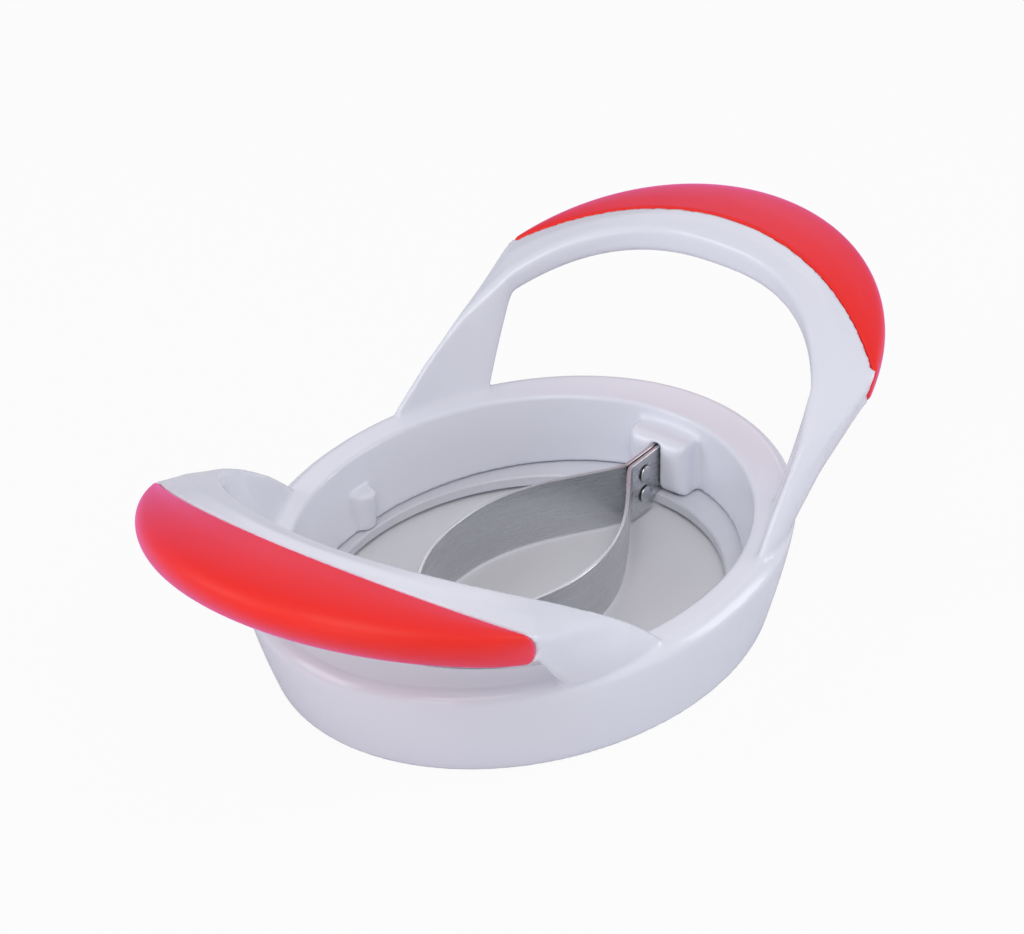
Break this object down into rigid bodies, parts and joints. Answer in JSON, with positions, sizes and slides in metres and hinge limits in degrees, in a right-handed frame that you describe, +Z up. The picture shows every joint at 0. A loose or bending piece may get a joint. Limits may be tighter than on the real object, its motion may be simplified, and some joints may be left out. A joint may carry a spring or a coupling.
{
  "type": "mango pitter",
  "caption": "Press-down fruit pitter: oval cutting ring with two raised soft-grip loop handles, bowed steel pit blade and a base plate that lifts off.",
  "frame": {"origin": "on the worktop under the middle of the ring, level with the undersides of the feet", "axes": "+X from the left handle to the right handle, +Y to the rear, +Z up"},
  "size_m": [0.1962, 0.1088, 0.0623],
  "materials": {
    "white_plastic": "glossy moulded white with a faint cool tint",
    "red_grip": "soft-touch satin red",
    "clamp_plastic": "satin white",
    "plate_plastic": "satin white",
    "blade_steel": "brushed stainless steel",
    "rivet_steel": "plain stainless steel",
    "screw_steel": "plain stainless steel",
    "foot_rubber": "matt grey rubber"
  },
  "bodies": {
    "base": {"base_plate": "plate_plastic", "base_foot_left_front": "foot_rubber", "base_foot_left_rear": "foot_rubber", "base_foot_right_front": "foot_rubber", "base_foot_right_rear": "foot_rubber"},
    "splitter": {"handle_frame": "white_plastic", "soft_grip_left": "red_grip", "soft_grip_right": "red_grip", "clamp_ring": "clamp_plastic", "pit_blade_front": "blade_steel", "pit_blade_rear": "blade_steel", "blade_rivet_left_low": "rivet_steel", "blade_rivet_left_high": "rivet_steel", "blade_rivet_right_low": "rivet_steel", "blade_rivet_right_high": "rivet_steel", "clamp_screw_left_rear": "screw_steel", "clamp_screw_left_front": "screw_steel", "clamp_screw_right_rear": "screw_steel", "clamp_screw_right_front": "screw_steel", "clamp_screw_middle_rear": "screw_steel", "clamp_screw_middle_front": "screw_steel"}
  },
  "joints": [
    {"name": "lift", "type": "slide", "parent": "base", "child": "splitter", "axis": [0, 0, 1], "range_m": [0, 0.06]}
  ]
}
